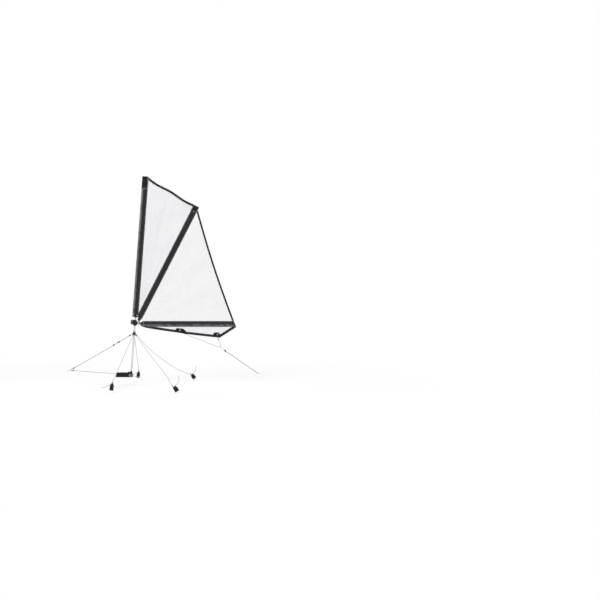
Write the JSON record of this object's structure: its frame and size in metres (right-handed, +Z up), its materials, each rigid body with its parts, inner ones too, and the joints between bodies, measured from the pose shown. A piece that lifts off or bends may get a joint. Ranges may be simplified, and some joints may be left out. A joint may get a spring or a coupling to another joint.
{
  "type": "folding canoe sail",
  "caption": "Fan-shaped folding sail for a canoe or kayak: mast, sprit and boom on one tack fitting, see-through film panels, deck block, stays and sheet.",
  "frame": {"origin": "under the deck block, where the mast's axis meets the deck", "axes": "+Z up from the deck, +X aft along the boat, +Y to starboard; the sail lies in the XZ plane"},
  "size_m": [1.6178, 0.764, 1.757],
  "materials": {
    "sail_film": "see-through laminate film",
    "sleeve_cloth": "woven, matt",
    "patch_cloth": "heavy woven, matt",
    "webbing": "webbing",
    "moulded_nylon": "moulded",
    "stop_rubber": "matt",
    "spar_aluminium": "anodised",
    "stainless_steel": "polished",
    "pale_cord": "braided cord",
    "dark_cord": "braided cord"
  },
  "bodies": {
    "rigging": {"foot_block": "moulded_nylon", "foot_pin": "stainless_steel", "tab_fore_left": "webbing", "tab_fore_right": "webbing", "tab_aft_left": "webbing", "tab_aft_right": "webbing", "stay_fore_left": "pale_cord", "stay_fore_right": "pale_cord", "stay_aft_left": "pale_cord", "stay_aft_right": "pale_cord", "tail_fore_left": "dark_cord", "tail_fore_right": "dark_cord", "tail_aft_left": "pale_cord", "tail_aft_right": "pale_cord", "bow_ring": "stainless_steel", "bow_loop": "pale_cord", "forestay": "dark_cord", "fore_line": "pale_cord", "aft_line": "pale_cord", "forestay_adjuster": "moulded_nylon"},
    "mast": {"mast_heel": "moulded_nylon", "mast_lower_tube": "spar_aluminium", "mast_upper_tube": "spar_aluminium", "mast_ferrule": "stainless_steel", "mast_cap": "moulded_nylon", "stay_collar": "moulded_nylon", "collar_ring": "stop_rubber"},
    "luff": {"tack_fitting": "moulded_nylon", "tack_knob": "moulded_nylon", "tack_link_left": "stainless_steel", "tack_link_right": "stainless_steel", "tack_pin": "stainless_steel", "luff_sleeve": "sleeve_cloth", "head_patch": "patch_cloth", "upper_panel": "sail_film", "head_tape": "sleeve_cloth"},
    "sprit": {"sprit_heel": "moulded_nylon", "sprit_tube": "spar_aluminium", "sprit_cap": "moulded_nylon", "sprit_sleeve": "sleeve_cloth", "peak_patch": "patch_cloth", "lower_panel": "sail_film", "leech_tape": "sleeve_cloth"},
    "boom": {"boom_heel": "moulded_nylon", "boom_tube": "spar_aluminium", "boom_cap": "moulded_nylon", "boom_sleeve": "sleeve_cloth", "foot_tape": "sleeve_cloth", "skirt_tape": "sleeve_cloth", "skirt_panel": "sail_film", "clew_patch": "patch_cloth", "sheet_patch_fore": "patch_cloth", "sheet_patch_aft": "patch_cloth", "grommet_fore": "stainless_steel", "grommet_aft": "stainless_steel", "bridle": "pale_cord", "bridle_bead": "moulded_nylon", "sheet_link": "stainless_steel", "sheet_knot": "dark_cord", "sheet": "dark_cord"}
  },
  "joints": [
    {"name": "mast_fold", "type": "hinge", "parent": "rigging", "child": "mast", "pos_m": [-0.002, 0, 0.0155], "axis": [0, 1, 0], "range_deg": [0, 80], "deforming": ["forestay", "stay_fore_left", "stay_fore_right", "stay_aft_left", "stay_aft_right"]},
    {"name": "sail_swing", "type": "hinge", "parent": "mast", "child": "luff", "pos_m": [0.03347, 0, 0.45577], "axis": [0.0732, 0, 0.9973], "range_deg": [-90, 90]},
    {"name": "sprit_fold", "type": "hinge", "parent": "luff", "child": "sprit", "pos_m": [0.06379, 0, 0.45355], "axis": [0, -1, 0], "range_deg": [0, 20], "deforming": ["luff_sleeve", "sprit_sleeve", "upper_panel", "head_tape"]},
    {"name": "boom_fold", "type": "hinge", "parent": "sprit", "child": "boom", "pos_m": [0.06379, 0, 0.45355], "axis": [0, -1, 0], "range_deg": [0, 58], "deforming": ["boom_sleeve", "lower_panel", "leech_tape"]}
  ]
}
